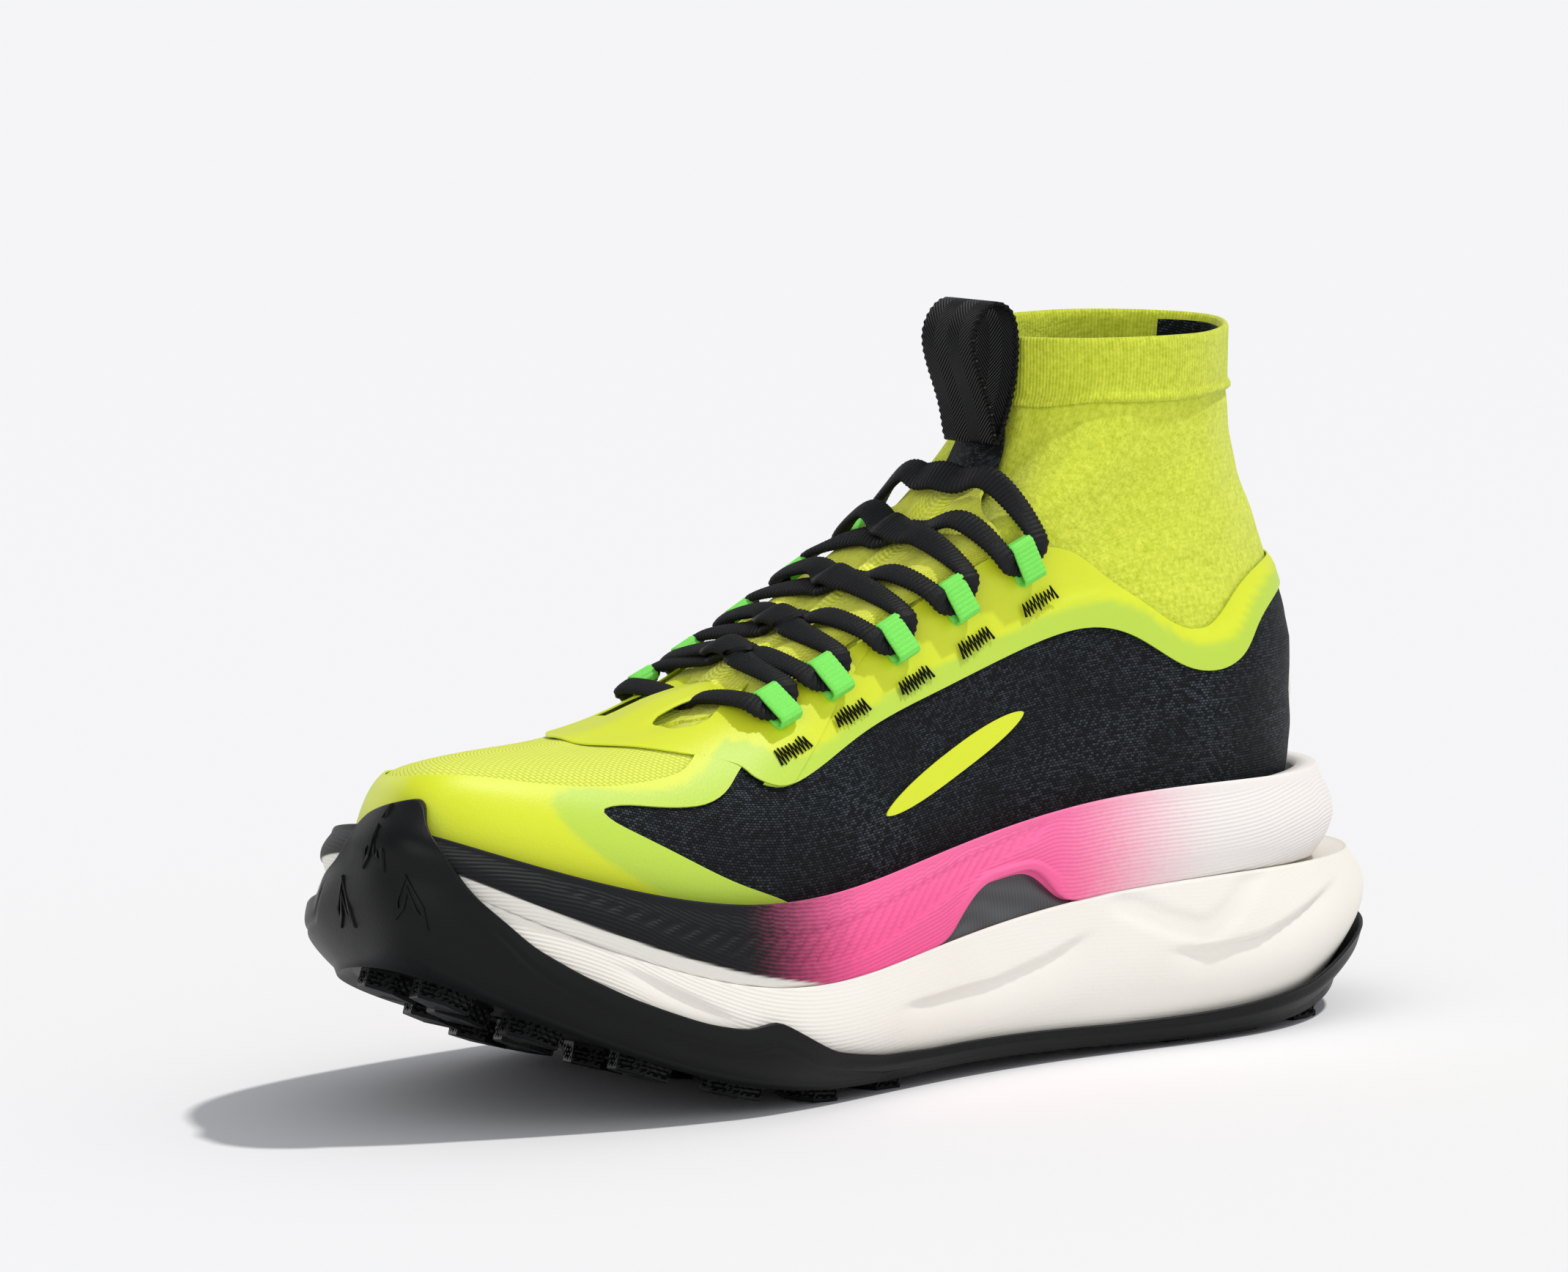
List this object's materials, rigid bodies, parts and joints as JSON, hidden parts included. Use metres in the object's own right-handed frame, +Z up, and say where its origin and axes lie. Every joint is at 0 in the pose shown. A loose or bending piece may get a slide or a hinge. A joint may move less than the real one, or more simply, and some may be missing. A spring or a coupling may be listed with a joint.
{
  "type": "running shoe",
  "caption": "Right trail-running shoe with a two-layer foam midsole, wrapped rubber toe, lugged outsole, knitted ankle collar, webbing lace loops and a front pull loop.",
  "frame": {"origin": "on the ground, under the middle of the shoe's bounding box", "axes": "-X to the toe, +X to the heel, -Y to the inner (medial) side, +Y to the outer side, +Z up"},
  "size_m": [0.3132, 0.1166, 0.1787],
  "materials": {
    "white_foam": "foam",
    "pink_foam": "foam",
    "black_rubber": "moulded",
    "carbon": "woven carbon in resin",
    "board_felt": "non-woven",
    "insole_foam": "knit-faced foam",
    "pale_mesh": "engineered mesh",
    "black_weave": "coated yarn weave",
    "yellow_film": "satin film",
    "yellow_knit": "knit",
    "stiffener": "moulded sheet",
    "black_lace": "woven lace",
    "black_webbing": "webbing",
    "green_webbing": "ribbed webbing",
    "black_thread": "thread"
  },
  "bodies": {
    "shoe": {"midsole_lower": "white_foam", "midsole_upper": "pink_foam", "outsole": "black_rubber", "plate_inner": "carbon", "plate_outer": "carbon", "plate_wing": "carbon", "lasting_board": "board_felt", "insole": "insole_foam", "vamp_mesh": "pale_mesh", "quarter_inner": "black_weave", "quarter_outer": "black_weave", "toe_cap_film": "yellow_film", "eyestay_collar_film": "yellow_film", "sock_collar": "yellow_knit", "collar_cuff": "yellow_knit", "tongue": "yellow_knit", "pull_loop_patch": "black_weave", "heel_grip_patch": "black_weave", "toe_puff": "stiffener", "heel_counter": "stiffener", "ankle_pad_inner": "yellow_knit", "ankle_pad_outer": "yellow_knit", "lace": "black_lace", "lace_loop_inner_1": "green_webbing", "lace_loop_inner_2": "green_webbing", "lace_loop_inner_3": "green_webbing", "lace_loop_inner_4": "green_webbing", "lace_loop_inner_5": "green_webbing", "lace_loop_outer_1": "green_webbing", "lace_loop_outer_2": "green_webbing", "lace_loop_outer_3": "green_webbing", "lace_loop_outer_4": "green_webbing", "lace_loop_outer_5": "green_webbing", "bar_tack_inner_1": "black_thread", "bar_tack_inner_2": "black_thread", "bar_tack_inner_3": "black_thread", "bar_tack_inner_4": "black_thread", "bar_tack_inner_5": "black_thread", "bar_tack_outer_1": "black_thread", "bar_tack_outer_2": "black_thread", "bar_tack_outer_3": "black_thread", "bar_tack_outer_4": "black_thread", "bar_tack_outer_5": "black_thread"},
    "pull_loop": {"pull_loop": "black_webbing"}
  },
  "joints": [
    {"name": "pull_loop_fold", "type": "hinge", "parent": "shoe", "child": "pull_loop", "pos_m": [0.0376, 0, 0.1438], "axis": [0, 1, 0], "range_deg": [-50, 2], "stiffness_Nm_per_rad": 0.01}
  ]
}
